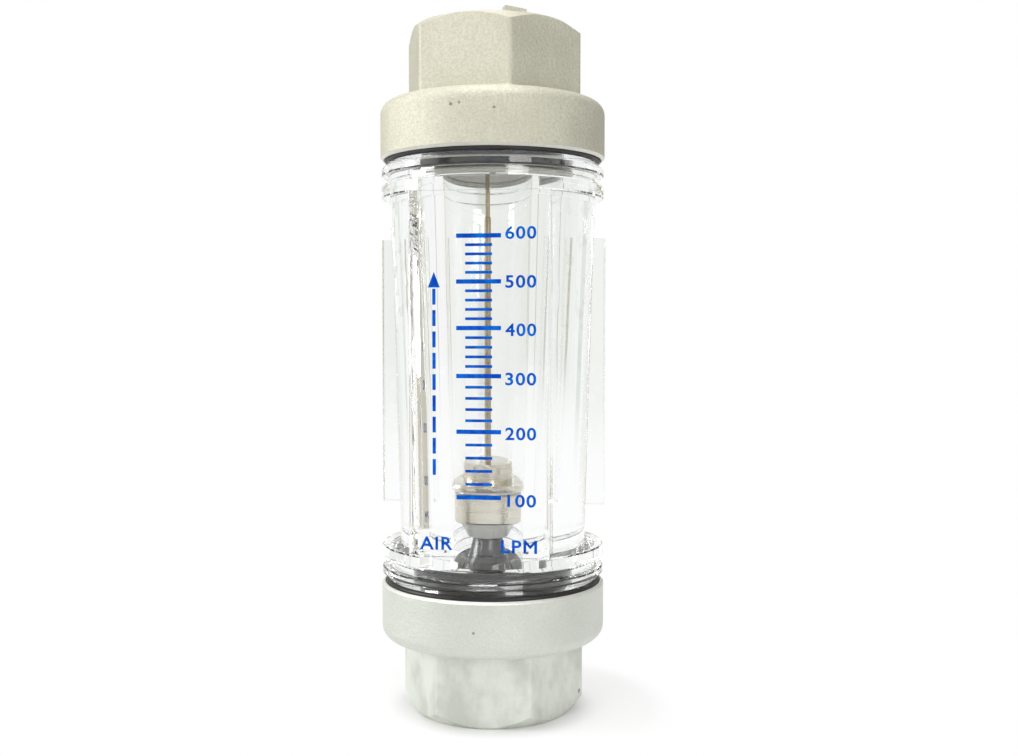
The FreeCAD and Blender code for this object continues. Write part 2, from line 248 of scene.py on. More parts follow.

# %% [markdown]
# ## Cast steel: its skin
# Gas leaves small pits in a casting. Most lie anywhere, so they come from a Voronoi pattern that a
# coarse noise thins out, and the few large ones are placed one by one. The blasted skin between
# them is cloudy, with fine dark flecks. The flats of the lower hexagon carry a painted sheen:
# patches painted lighter and darker, standing in for the reflections on them.


# %% Pits and skin of a casting
def pit_share(tree, place, large_pits):
    """Small pits here and there, and large ones by place and size in millimetres."""
    spots = tree.nodes.new("ShaderNodeTexVoronoi")
    tree.links.new(place, spots.inputs["Vector"])
    spots.inputs["Scale"].default_value = 170.0
    small = grade(tree, spots.outputs["Distance"], 0.12, 0.05)
    rare = grade(tree, noise(tree, place, 70.0, 2.0), 0.69, 0.72)
    pit = calc(tree, "MULTIPLY", small, rare)
    for spot, size in large_pits:
        apart = tree.nodes.new("ShaderNodeVectorMath")
        apart.operation = "DISTANCE"
        tree.links.new(place, apart.inputs[0])
        apart.inputs[1].default_value = tuple(v * mm for v in spot)
        large = grade(tree, apart.outputs["Value"], size * mm, size * 0.5 * mm)
        pit = calc(tree, "MAXIMUM", pit, large)
    return pit


def skin_color(tree, place, clouds, light, dark, fleck_share):
    color = blend(tree, grade(tree, clouds, 0.20, 0.80), dark, light)
    speckle = noise(tree, place, 1700.0, 3.0, 0.75)
    fleck = calc(tree, "MULTIPLY", grade(tree, speckle, 0.40, 0.62), fleck_share)
    return blend(tree, fleck, color, tinted(dark, 0.78))


def painted_sheen(tree, place, height, color, light, dark, head):
    """Painted sheen in patches on the hexagon, up to its head."""
    sheen = noise(tree, stretch(tree, place, (1.0, 1.0, 0.7)), 105.0, 3.0, 0.55)
    # patches painted lighter and darker than the skin, standing in for reflections: a painted sheen
    patchy = blend(tree, grade(tree, sheen, 0.36, 0.62), tinted(dark, 0.88), tinted(light, 1.14))
    on_hexagon = grade(tree, height, head, head - 1.5 * mm, 0.0, 0.60)
    return blend(tree, on_hexagon, color, patchy)


print("helpers for cast skin")

# %% [markdown]
# ## Cast steel: the two castings
# Both castings get the same material with other numbers: the upper one is warmer, rougher and more
# flecked than the lower one. The colour is laid in the order of the work, first the skin and the
# lower one's painted sheen, then the machined places and the rim with its painted highlight, then
# the pits. The machined places also carry the fine rings that a lathe leaves.


# %% Cast steel
def cast_steel(name, light, dark, grain_depth, fleck_share, end_level, cup_side, large_pits,
               painted_sheen_head=None):
    material, tree, shader, place = new_material(name)
    radius, height = axis_radius(tree, place)
    clouds = noise(tree, place, 60.0, 3.0, 0.5)
    machined = machined_share(tree, radius, height, end_level, cup_side)
    as_cast = calc(tree, "SUBTRACT", 1.0, machined)
    rim = faced_rim_highlight(tree, radius, height, cup_side)
    pit = calc(tree, "MULTIPLY", pit_share(tree, place, large_pits), as_cast)
    # colour
    color = skin_color(tree, place, clouds, light, dark, fleck_share)
    if painted_sheen_head:
        color = painted_sheen(tree, place, height, color, light, dark, painted_sheen_head)
    color = blend(tree, machined, color, (0.74, 0.73, 0.70))
    # the faced-off rim is painted lighter: a painted highlight along its edge
    color = blend(tree, calc(tree, "MULTIPLY", rim, 0.6), color, (0.90, 0.89, 0.85))
    color = blend(tree, calc(tree, "MULTIPLY", pit, 0.75), color, tinted(dark, 0.35))
    tree.links.new(color, shader.inputs["Base Color"])
    # gloss
    rough = calc(tree, "MULTIPLY_ADD", machined, -0.16, 0.46)
    tree.links.new(calc(tree, "MULTIPLY_ADD", clouds, 0.10, rough), shader.inputs["Roughness"])
    shader.inputs["Metallic"].default_value = 0.75
    # relief: grain and pits outside, turning rings inside
    grain = noise(tree, place, 1050.0, 4.0, 0.76)
    relief = calc(tree, "MULTIPLY_ADD", pit, -1.5, calc(tree, "MULTIPLY", grain, as_cast))
    normal = bump(tree, relief, grain_depth * mm, 0.85)
    along = calc(tree, "MULTIPLY", calc(tree, "ADD", radius, height), 26000.0)
    turned = calc(tree, "MULTIPLY", calc(tree, "SINE", along), machined)
    tree.links.new(bump(tree, turned, 0.006 * mm, 0.5, normal), shader.inputs["Normal"])
    return material


print("helper for cast steel")

# %% Dress the two castings
dress("outlet_fitting", cast_steel(
    "warm_cast_steel", light=(0.69, 0.68, 0.56), dark=(0.59, 0.57, 0.47), grain_depth=0.42,
    fleck_share=0.48, end_level=total_height, cup_side=-1.0,
    large_pits=[((-6.1, -29.4, 157.4), 0.50), ((-4.0, -29.7, 157.7), 0.38),
                ((4.6, -29.6, 156.3), 0.42)]))
dress("inlet_fitting", cast_steel(
    "cool_cast_steel", light=(0.73, 0.75, 0.70), dark=(0.65, 0.67, 0.61), grain_depth=0.28,
    fleck_share=0.22, end_level=0.0, cup_side=1.0, large_pits=[((-0.6, -30.0, 27.1), 0.42)],
    painted_sheen_head=20.2 * mm))

# %% [markdown]
# ## Clear polycarbonate
# The body is one clear moulding. A transparent shader with a sharp alpha would be quick, but it
# wouldn't bend the light, and here the inside is seen through thick rings and a tapered bore. So
# the body is a solid that refracts. A moulding isn't optically flat either: long shallow flow lines
# run up it and break up what shows through, and small patches are a little less glossy.

# %% Clear polycarbonate
material, tree, shader, place = new_material("clear_polycarbonate")
shader.inputs["Base Color"].default_value = (0.975, 0.985, 0.98, 1)
shader.inputs["Transmission Weight"].default_value = 1.0
shader.inputs["IOR"].default_value = 1.58
flow = noise(tree, stretch(tree, place, (1.0, 1.0, 0.14)), 160.0, 2.0, 0.4)
waves = noise(tree, place, 70.0, 2.0, 0.4)
surface = calc(tree, "MULTIPLY_ADD", flow, 0.5, waves)
tree.links.new(bump(tree, surface, 0.006 * mm, 1.0), shader.inputs["Normal"])
dull = grade(tree, noise(tree, place, 300.0, 3.0), 0.55, 0.75, 0.0, 0.05)
tree.links.new(dull, shader.inputs["Roughness"])
dress("meter_body", material)

# %% [markdown]
# ## Rubber, sheet and acetal
# The seals are black rubber, apart from the pale one at the upper shoulder, which shows as a light
# ring round the top of the bore. The end gaskets are cut from white sheet, and the stop under the
# float is a disc of black acetal. They are all dull, with a faint grain, so one function with
# other numbers makes them all.


# %% Rubber, sheet and acetal
def soft_plastic(name, light, dark, roughness, depth):
    material, tree, shader, place = new_material(name)
    patches = noise(tree, place, 260.0, 4.0, 0.6)
    color = blend(tree, grade(tree, patches, 0.35, 0.65), dark, light)
    tree.links.new(color, shader.inputs["Base Color"])
    tree.links.new(grade(tree, patches, 0.3, 0.7, roughness - 0.08, roughness + 0.08),
                   shader.inputs["Roughness"])
    grain = noise(tree, place, 2600.0, 3.0, 0.6)
    tree.links.new(bump(tree, grain, depth * mm, 0.6), shader.inputs["Normal"])
    return material


dress("inlet_neck_seal outlet_neck_seal inlet_shoulder_seal",
      soft_plastic("nitrile_rubber", (0.022, 0.022, 0.022), (0.010, 0.010, 0.010), 0.45, 0.02))
dress("inlet_end_gasket outlet_end_gasket",
      soft_plastic("gasket_sheet", (0.80, 0.80, 0.77), (0.70, 0.70, 0.66), 0.55, 0.03))
dress("outlet_shoulder_seal",
      soft_plastic("pale_silicone", (0.78, 0.78, 0.75), (0.68, 0.68, 0.65), 0.40, 0.02))
dress("lower_float_stop",
      soft_plastic("black_acetal", (0.035, 0.035, 0.035), (0.022, 0.022, 0.022), 0.35, 0.01))

# %% [markdown]
# ## Turned steel
# The float and the fasteners come off a lathe, so fine marks run round them. An anisotropic shader
# gives such marks from far off, but close to they have to be relief, so a sine of the radius and
# height and a noise drawn out into level lines raise them. The float's cone faces down, and it is
# painted pale and not metallic, paler and duller than the turned parts: a painted reflection of
# the bright parts below it.


# %% Turned steel
def turned_steel(name, light, dark, roughness, marks, depth, pale_cone_below=None):
    material, tree, shader, place = new_material(name)
    radius, height = axis_radius(tree, place)
    patches = noise(tree, place, 130.0, 3.0, 0.5)
    color = blend(tree, grade(tree, patches, 0.3, 0.7), dark, light)
    shader.inputs["Metallic"].default_value = 1.0
    if pale_cone_below:
        # the downward cone is painted pale and not metallic: a painted reflection of the bright
        # parts below
        pale_cone = grade(tree, height, pale_cone_below + 0.1 * mm, pale_cone_below - 0.1 * mm)
        color = blend(tree, pale_cone, color, (0.93, 0.92, 0.90))
        tree.links.new(calc(tree, "SUBTRACT", 1.0, pale_cone), shader.inputs["Metallic"])
    tree.links.new(color, shader.inputs["Base Color"])
    feed_lines = noise(tree, stretch(tree, place, (0.05, 0.05, 1.0)), 900.0, 3.0, 0.6)
    tree.links.new(grade(tree, feed_lines, 0.3, 0.7, roughness - 0.05, roughness + 0.07),
                   shader.inputs["Roughness"])
    fine = calc(tree, "SINE", calc(tree, "MULTIPLY", calc(tree, "ADD", radius, height), marks))
    relief = calc(tree, "MULTIPLY_ADD", feed_lines, 0.6, fine)
    tree.links.new(bump(tree, relief, depth * mm, 0.5), shader.inputs["Normal"])
    return material


float_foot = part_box("float_body")[0][2]
dress("float_body",
      turned_steel("turned_float_steel", (0.74, 0.70, 0.62), (0.62, 0.57, 0.47), 0.22, 42000.0,
                   0.0012, pale_cone_below=float_foot + 4.5 * mm))
dress("lower_rod_nut lower_rod_washer upper_rod_nut upper_rod_washer",
      turned_steel("fastener_steel", (0.68, 0.68, 0.66), (0.58, 0.58, 0.56), 0.28, 30000.0, 0.004))

# %% [markdown]
# ## Drawn steel
# The guide rod is drawn through a die, which leaves long fine lines along it and brownish stains.
# Its two ends are threaded for the nuts. That thread is fine and half hidden, so it isn't modelled:
# below the lower washer and above the upper one a sine of the height raises it on the surface.

# %% Drawn steel
rod_pitch = 0.45 * mm
lower_washer_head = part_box("lower_rod_washer")[1][2]
upper_washer_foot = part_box("upper_rod_washer")[0][2]


def drawn_steel(name, light, dark, roughness):
    material, tree, shader, place = new_material(name)
    height = axis_radius(tree, place)[1]
    stains = noise(tree, stretch(tree, place, (1.0, 1.0, 0.4)), 120.0, 3.0, 0.6)
    color = blend(tree, grade(tree, stains, 0.35, 0.65), dark, light)
    tree.links.new(color, shader.inputs["Base Color"])
    lines = noise(tree, stretch(tree, place, (1.0, 1.0, 0.02)), 2600.0, 3.0, 0.6)
    tree.links.new(grade(tree, lines, 0.3, 0.7, roughness - 0.06, roughness + 0.08),
                   shader.inputs["Roughness"])
    shader.inputs["Metallic"].default_value = 1.0
    low_end = grade(tree, height, lower_washer_head + 0.05 * mm, lower_washer_head - 0.05 * mm)
    high_end = grade(tree, height, upper_washer_foot - 0.05 * mm, upper_washer_foot + 0.05 * mm)
    groove = calc(tree, "SINE", calc(tree, "MULTIPLY", height, 2 * math.pi / rod_pitch))
    groove = calc(tree, "MULTIPLY", groove, calc(tree, "MAXIMUM", low_end, high_end))
    normal = bump(tree, lines, 0.004 * mm, 0.5)
    tree.links.new(bump(tree, groove, 0.06 * mm, 1.0, normal), shader.inputs["Normal"])
    return material


dress("guide_rod", drawn_steel("drawn_rod_steel", (0.50, 0.43, 0.32), (0.36, 0.29, 0.19), 0.30))

# %% [markdown]
# ## Investment-cast steel
# The rod holders are small castings with a satin surface. They are bright inside the rim, and dark,
# glossier and more metallic on the outer wall and on the lower one's bell. As on the pipe ends, the
# radius and the height say which is which.

# %% Investment-cast steel
holder_wall = 21.1 * mm
bell_reach = 11.7 * mm
between_holders = 80 * mm


def satin_casting(name, light, dark, dark_zone_light, dark_zone_dark):
    material, tree, shader, place = new_material(name)
    radius, height = axis_radius(tree, place)
    patches = grade(tree, noise(tree, place, 150.0, 4.0, 0.6), 0.3, 0.7)
    wall = grade(tree, radius, holder_wall, holder_wall + 0.2 * mm)
    bell = calc(tree, "MULTIPLY", grade(tree, radius, bell_reach + 0.3 * mm, bell_reach),
                grade(tree, height, between_holders + 10 * mm, between_holders))
    # the outer wall and the lower holder's bell are coloured dark, glossier and more metallic
    dark_zone = calc(tree, "MAXIMUM", wall, bell)
    color = blend(tree, dark_zone, blend(tree, patches, dark, light),
                  blend(tree, patches, dark_zone_dark, dark_zone_light))
    tree.links.new(color, shader.inputs["Base Color"])
    shine = calc(tree, "MULTIPLY_ADD", patches, 0.12, 0.38)
    tree.links.new(calc(tree, "MULTIPLY_ADD", dark_zone, -0.22, shine), shader.inputs["Roughness"])
    tree.links.new(calc(tree, "MULTIPLY_ADD", dark_zone, 0.95, 0.05), shader.inputs["Metallic"])
    relief = noise(tree, place, 1900.0, 3.0, 0.6)
    tree.links.new(bump(tree, relief, 0.02 * mm, 0.6), shader.inputs["Normal"])
    return material


dress("inlet_rod_holder outlet_rod_holder",
      satin_casting("holder_steel", light=(0.86, 0.86, 0.84), dark=(0.76, 0.76, 0.74),
                    dark_zone_light=(0.12, 0.12, 0.13), dark_zone_dark=(0.04, 0.04, 0.04)))

# %% [markdown]
# ## Blue ink
# The scale is screen-printed in blue on the flat window. It could be a picture on the window's
# face, but ink has an edge and a thickness that show close up, so it is modelled. The ink is a
# little uneven, as it is when it is pressed through a mesh, and nearly without gloss. The window
# lies 5 mm inside the rings' outermost point.

# %% Blue ink
window_face = body_low[1] + 5.0 * mm
ink_thickness = 0.03 * mm
ink_back = window_face - 0.004 * mm
blue_ink, tree, shader, place = new_material("blue_ink")
coverage = noise(tree, place, 420.0, 4.0, 0.6)
ink_color = blend(tree, grade(tree, coverage, 0.35, 0.70), (0.001, 0.060, 0.46),
                  (0.001, 0.150, 0.68))
tree.links.new(ink_color, shader.inputs["Base Color"])
tree.links.new(grade(tree, coverage, 0.3, 0.7, 0.50, 0.65), shader.inputs["Roughness"])
shader.inputs["Specular IOR Level"].default_value = 0.05
relief = noise(tree, place, 3200.0, 2.0)
tree.links.new(bump(tree, relief, 0.01 * mm, 0.5), shader.inputs["Normal"])
print("ink from", round(ink_back, 5), "thick", ink_thickness)

# %% [markdown]
# ## Bars of print
# Marks and dashes are flat bars. A curve with a bevel would give round ends, and cubes would need
# their corners cut one by one. Here each bar is a plane drawn into one mesh in edit mode. When
# all are drawn, their corners are rounded together and they are extruded to the thickness of ink.


# %% Helpers to draw bars
def start_print(name):
    """An empty mesh, open in edit mode, that print is drawn into."""
    bpy.ops.object.select_all(action="DESELECT")
    bpy.ops.mesh.primitive_plane_add(size=mm, location=(0, 0, 0))
    piece = bpy.context.object
    piece.name = piece.data.name = name
    bpy.ops.object.mode_set(mode="EDIT")
    bpy.ops.mesh.delete(type="VERT")
    return piece


def bar(left, right, low, high):
    """One flat bar, facing out of the window. Measures are in millimetres."""
    middle = Vector(((left + right) / 2 * mm, ink_back, (low + high) / 2 * mm))
    bpy.ops.mesh.select_all(action="DESELECT")
    bpy.ops.mesh.primitive_plane_add(size=mm, location=middle, rotation=(math.pi / 2, 0, 0))
    bpy.ops.transform.resize(value=(right - left, 1, high - low), center_override=middle)


print("helpers to draw bars")


# %% Helpers to finish print
def ink_over(piece):
    """Give a finished piece its ink, and let it ride with the meter."""
    piece.data.shade_flat()
    piece.data.materials.clear()
    piece.data.materials.append(blue_ink)
    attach(piece, "meter")
    print(piece.name, len(piece.data.polygons), "faces")


def finish_print(piece, corner):
    """Round the corners, give the drawing the thickness of ink, and ink it."""
    bpy.ops.mesh.select_all(action="SELECT")
    bpy.ops.mesh.bevel(offset=corner * mm, segments=3, affect="VERTICES")
    bpy.ops.mesh.select_all(action="SELECT")
    bpy.ops.mesh.extrude_region_move(
        TRANSFORM_OT_translate={"value": (0, -ink_thickness, 0)})
    bpy.ops.mesh.select_all(action="SELECT")
    bpy.ops.mesh.normals_make_consistent(inside=False)
    bpy.ops.object.mode_set(mode="OBJECT")
    ink_over(piece)


print("helpers to finish print")

# %% [markdown]
# ## The marks
# The scale has six long marks with four short ones between each pair. The long marks draw closer
# together towards the top, so a fixed step wouldn't give them. Their levels, which are heights
# above the meter's foot in millimetres, are listed, and the short ones divide each gap evenly. The
# last number of a row is how far the numeral sits above its mark, or below it.

# %% Marks of the scale
scale_levels = [("600", 125.75, 0.65), ("500", 114.35, -0.05), ("400", 102.75, -0.45),
                ("300", 90.75, -0.70), ("200", 76.75, -0.40), ("100", 60.25, -0.70)]
half_long_mark, half_short_mark = 0.55, 0.36
steps_between_marks = 5
marks = start_print("scale_marks")
for number, level, lift in scale_levels:
    bar(-5.70, 5.64, level - half_long_mark, level + half_long_mark)
for upper, lower in zip(scale_levels, scale_levels[1:]):
    for part in range(1, steps_between_marks):
        level = upper[1] + (lower[1] - upper[1]) * part / steps_between_marks
        bar(-3.42, 3.40, level - half_short_mark, level + half_short_mark)
finish_print(marks, corner=0.12)

# %% [markdown]
# ## Lettering
# Numerals and words are Blender's own text, turned into a mesh. The text object could make its
# strokes heavier by an offset, but that folds the outline over itself in tight corners, so the
# points of the outline are moved out afterwards instead. Each word is then fitted between a left
# and a right edge, a foot and a head.

# %% Heavier strokes
letter_weight = 0.021


def heavier(mesh, weight):
    """Move each point of the outline outwards, which makes the strokes thicker."""
    sides = {}
    for face in mesh.polygons:
        if abs(face.normal.z) < 0.5:
            for index in face.vertices:
                sides.setdefault(index, []).append(face.normal.copy())
    for index, normals in sides.items():
        outward = sum(normals, Vector((0, 0, 0)))
        outward.z = 0
        if outward.length > 0.01:
            outward.normalize()
            mesh.vertices[index].co += outward * weight / max(outward.dot(normals[0]), 0.4)


print("letter weight", letter_weight)


# %% One word
def word(body, left, right, foot, head):
    """Lettering fitted between left and right, foot and head, in millimetres."""
    bpy.ops.object.text_add(location=(0, 0, 0))
    text = bpy.context.object
    text.data.body = body
    text.data.space_character = 1.12
    text.data.extrude = 0.5
    text.data.resolution_u = 5
    bpy.ops.object.convert(target="MESH")
    text = bpy.context.object
    bpy.ops.object.mode_set(mode="EDIT")
    bpy.ops.mesh.select_all(action="SELECT")
    bpy.ops.mesh.remove_doubles(threshold=0.0005)
    bpy.ops.object.mode_set(mode="OBJECT")
    heavier(text.data, letter_weight)
    corners = [v.co.copy() for v in text.data.vertices]
    low = [min(c[i] for c in corners) for i in range(3)]
    high = [max(c[i] for c in corners) for i in range(3)]
    wide = (right - left) * mm / (high[0] - low[0])
    tall = (head - foot) * mm / (high[1] - low[1])
    for vertex, c in zip(text.data.vertices, corners):
        vertex.co = ((c.x - low[0]) * wide + left * mm,
                     ink_back - (c.z - low[2]) * ink_thickness,
                     (c.y - low[1]) * tall + foot * mm)
    return text


print("helper for a word")


# %% Words as one piece
def print_words(name, entries):
    """Set each entry as a mesh, then join them as one piece of print."""
    bpy.ops.object.select_all(action="DESELECT")
    made = [word(*entry) for entry in entries]
    for piece in made:
        piece.select_set(True)
    bpy.context.view_layer.objects.active = made[0]
    bpy.ops.object.join()
    piece = bpy.context.object
    piece.name = piece.data.name = name
    bpy.ops.object.mode_set(mode="EDIT")
    bpy.ops.mesh.select_all(action="SELECT")
    bpy.ops.mesh.normals_make_consistent(inside=False)
    bpy.ops.object.mode_set(mode="OBJECT")
    ink_over(piece)


print("helper for words as one piece")

# %% [markdown]
# ### Numerals and words
# The numerals stand to the right of the marks, a little above or below them, as on a hand-set
# print. The "1" is narrow, so "100" starts further in to keep its zeros as wide as the others. The
# words AIR and LPM stand at the foot of the window.

# %% Numerals and words
half_numeral = 1.6
numeral_left, numeral_left_of_100, numeral_right = 6.7, 7.2, 14.45
print_words("scale_numerals", [
    (number, numeral_left_of_100 if number == "100" else numeral_left, numeral_right,
     level + lift - half_numeral, level + lift + half_numeral)
    for number, level, lift in scale_levels])
print_words("scale_words", [("AIR", -15.1, -6.7, 46.8, 50.15), ("LPM", 5.6, 14.7, 46.35, 49.65)])

# %% [markdown]
# ### Flow arrow
# A dashed arrow up the left of the window shows which way the air flows. Its dashes are bars in a
# loop, and its head is a circle of three points, which is a triangle, stretched to a slim tip.

# %% Flow arrow
arrow_x, arrow_foot, arrow_head = -11.35, 65.8, 116.8
dash, gap, half_dash = 4.0, 1.35, 0.42
tip_width, tip_height = 1.75, 2.6
arrow = start_print("flow_arrow")
low = arrow_foot
while low + dash < arrow_head - 3.5:
    bar(arrow_x - half_dash, arrow_x + half_dash, low, low + dash)
    low += dash + gap
tip = Vector((arrow_x * mm, ink_back, (arrow_head - tip_height) * mm))
bpy.ops.mesh.select_all(action="DESELECT")
bpy.ops.mesh.primitive_circle_add(vertices=3, radius=mm, fill_type="NGON", location=tip,
                                  rotation=(math.pi / 2, 0, 0))
bpy.ops.transform.resize(value=(tip_width, 1, tip_height), center_override=tip)
finish_print(arrow, corner=0.1)

# %% [markdown]
# ## Steel of the threads
# The threads are cut on a lathe, so they are brighter than the casting's skin and carry the fine
# chatter of the tool. They are worn a little unevenly.

# %% Machined thread steel
thread_steel, tree, shader, place = new_material("machined_thread_steel")
radius, height = axis_radius(tree, place)
wear = noise(tree, place, 240.0, 4.0, 0.6)
worn_color = blend(tree, grade(tree, wear, 0.3, 0.7), (0.56, 0.55, 0.51), (0.72, 0.71, 0.68))
tree.links.new(worn_color, shader.inputs["Base Color"])
tree.links.new(grade(tree, wear, 0.3, 0.7, 0.24, 0.38), shader.inputs["Roughness"])
shader.inputs["Metallic"].default_value = 1.0
chatter = calc(tree, "SINE", calc(tree, "MULTIPLY", calc(tree, "ADD", radius, height), 40000.0))
tree.links.new(bump(tree, chatter, 0.004 * mm, 0.5), shader.inputs["Normal"])
print(len(bpy.data.materials), "materials")

# %% [markdown]
# ## Pipe threads
# Each port is cut with a one-inch taper pipe thread of 11 turns to the inch. The solids hold the
# plain bore at the major diameter, and the ridges stand inside it. A stack of rings would look
# much the same from far off, but a thread is a helix, and its start shows at the mouth. So one
# ridge's outline is extruded point by point and swept with a Screw modifier, whose crests follow
# the helix.

# %% Ridge of the thread in the inlet
port_radius = 16.65 * mm
pitch = 25.4 / 11 * mm
thread_depth = 1.35 * mm
thread_start, thread_end = 1.05 * mm, 17.2 * mm
thread_wall = port_radius - 0.02 * mm
# steps along the ridge's outline: outwards in thread depths, and up in pitches
ridge = [(0, 0.09), (-0.5, 0.17), (-0.4, 0.13), (-0.1, 0.06), (0, 0.10),
         (0.1, 0.06), (0.4, 0.13), (0.5, 0.17), (0, 0.09)]
bpy.ops.object.select_all(action="DESELECT")
bpy.ops.mesh.primitive_plane_add(size=mm, location=(thread_wall, 0, thread_start - pitch))
inlet_thread = bpy.context.object
inlet_thread.name = inlet_thread.data.name = "inlet_pipe_thread"
bpy.ops.object.transform_apply(location=True, rotation=True, scale=True)
bpy.ops.object.mode_set(mode="EDIT")
bpy.ops.mesh.merge(type="CENTER")
for outward, along in ridge:
    bpy.ops.mesh.extrude_vertices_move(
        TRANSFORM_OT_translate={"value": (outward * thread_depth, 0, along * pitch)})
bpy.ops.object.mode_set(mode="OBJECT")
print("ridge of", len(inlet_thread.data.vertices), "points, pitch", round(pitch, 6))

# %% Sweep the ridge
screw = inlet_thread.modifiers.new("thread", "SCREW")
screw.axis = "Z"
screw.screw_offset = pitch
screw.iterations = int((thread_end - thread_start) / pitch) + 2
screw.steps = screw.render_steps = 96
bpy.ops.object.modifier_apply(modifier="thread")
print("swept", len(inlet_thread.data.polygons), "faces")

# %% [markdown]
# ### Taper and run-out
# A pipe thread tapers, 1 in 32 on the radius, and it runs out to nothing at both ends, where the
# tool leaves the metal. Operators can't follow a helix, so the points are moved in code: the taper
# and the fade both depend only on a point's height.

# %% Taper and run-out of the thread
fade_in, fade_out = 1.2 * mm, 2.5 * mm
for vertex in inlet_thread.data.vertices:
    x, y, z = vertex.co
    level = min(max(z, thread_start), thread_end)
    fade = min(max((level - thread_start) / fade_in, 0.0), 1.0)
    fade *= min(max((thread_end - level) / fade_out, 0.0), 1.0)
    radius = math.hypot(x, y)
    shaped = thread_wall - fade * ((thread_wall - radius) + (level - thread_start) / 32)
    vertex.co = (x * shaped / radius, y * shaped / radius, level)
bpy.ops.object.mode_set(mode="EDIT")
bpy.ops.mesh.select_all(action="SELECT")
bpy.ops.mesh.remove_doubles(threshold=0.001 * mm)
bpy.ops.mesh.dissolve_degenerate(threshold=0.001 * mm)
bpy.ops.mesh.normals_make_consistent(inside=True)
bpy.ops.object.mode_set(mode="OBJECT")
bpy.ops.object.shade_smooth()
inlet_thread.data.materials.append(thread_steel)
print("thread of", len(inlet_thread.data.polygons), "faces")

# %% [markdown]
# ### The same thread in the outlet
# The outlet has the same thread, and a mirrored copy would run the wrong way round. A copy turned
# half a turn about the X axis stays right-handed, so the copy is turned about the middle of the
# meter's height.

# %% Thread in the outlet
bpy.ops.object.duplicate(linked=False)
outlet_thread = bpy.context.object
outlet_thread.name = outlet_thread.data.name = "outlet_pipe_thread"
bpy.ops.object.mode_set(mode="EDIT")
bpy.ops.mesh.select_all(action="SELECT")
bpy.ops.transform.rotate(value=math.pi, orient_axis="X",
                         center_override=(0, 0, total_height / 2))
bpy.ops.object.mode_set(mode="OBJECT")
for piece, slot in ((inlet_thread, "inlet_casting"), (outlet_thread, "outlet_casting")):
    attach(piece, "meter")
print("outlet thread from", round(min(v.co.z for v in outlet_thread.data.vertices), 4))

# %% [markdown]
# ## Camera
# The camera stands a third of a metre off, a little above the middle of the meter and a little to
# its right, so that the window is seen almost square on. It looks down very slightly. A longer
# lens from further off would flatten the rings, whose curve shows how round the body is.

# %% Camera
camera_turn = math.radians(7.35)
camera_pitch = 0.0412
camera_distance = 0.315
camera_side = 0.00439
camera_height = 0.10225
camera_data = bpy.data.cameras.new("camera")
camera_data.sensor_width = 36.0
camera_data.lens = 41.1277
camera = bpy.data.objects.new("camera", camera_data)
bpy.context.collection.objects.link(camera)
right = Vector((math.cos(camera_turn), math.sin(camera_turn), 0))
forward = Vector((-math.sin(camera_turn), math.cos(camera_turn), 0))
camera.location = right * camera_side - forward * camera_distance + Vector((0, 0, camera_height))
camera.rotation_euler = (math.pi / 2 - camera_pitch, 0, camera_turn)
scene.camera = camera
print("camera at", [round(v, 4) for v in camera.location])

# %% [markdown]
# ## Light paths
# A ray that enters the clear body meets many faces before it leaves: rings, bore, window and
# wings. If it is given up too early it counts as black, and ragged dark patches show at the edge of
# the window. So the limits are far above Blender's usual ones.

# %% Light paths
longest_path = 96
scene.cycles.max_bounces = longest_path
scene.cycles.glossy_bounces = longest_path
scene.cycles.transmission_bounces = longest_path
print("light paths up to", longest_path, "bounces")

# %% [markdown]
# ## The room round the meter
# Clear plastic has no colour of its own: what is seen in it is the room behind and beside it. In
# an even white studio its edges would be hard to see. So rays that pass through the plastic, or
# that it mirrors, see a pale room that stands still round the meter: grey straight behind it, near
# white to its sides and beige in front, with a few narrow dark uprights. A colour ramp round the
# compass gives the broad bands. The uprights are too narrow for a ramp, which is only stored in
# coarse steps, so they are worked out from the distance to their middle.

# %% The room round the meter
# round the compass: 0 and 1 in front of the meter, 0.25 on its left, 0.5 straight behind it
room_stops = [
    (0.000, (0.60, 0.59, 0.54)), (0.055, (0.56, 0.54, 0.45)), (0.160, (0.54, 0.51, 0.40)),
    (0.240, (0.58, 0.55, 0.44)), (0.265, (0.95, 0.95, 0.94)), (0.300, (0.97, 0.97, 0.97)),
    (0.390, (0.97, 0.97, 0.97)), (0.450, (0.96, 0.97, 0.96)), (0.482, (0.96, 0.97, 0.96)),
    (0.490, (0.74, 0.77, 0.73)), (0.505, (0.74, 0.77, 0.73)), (0.512, (0.95, 0.96, 0.94)),
    (0.555, (0.92, 0.93, 0.92)), (0.640, (0.84, 0.85, 0.82)), (0.745, (0.90, 0.91, 0.88)),
    (0.780, (0.62, 0.60, 0.52)), (0.900, (0.54, 0.52, 0.44)), (1.000, (0.60, 0.59, 0.54))]
# place round the compass, half width and darkness of each upright
uprights = [(0.254, 0.0040, 0.75), (0.337, 0.0030, 0.65), (0.697, 0.0030, 0.65),
            (0.756, 0.0040, 0.75)]
print(len(room_stops), "colours round the room,", len(uprights), "uprights")


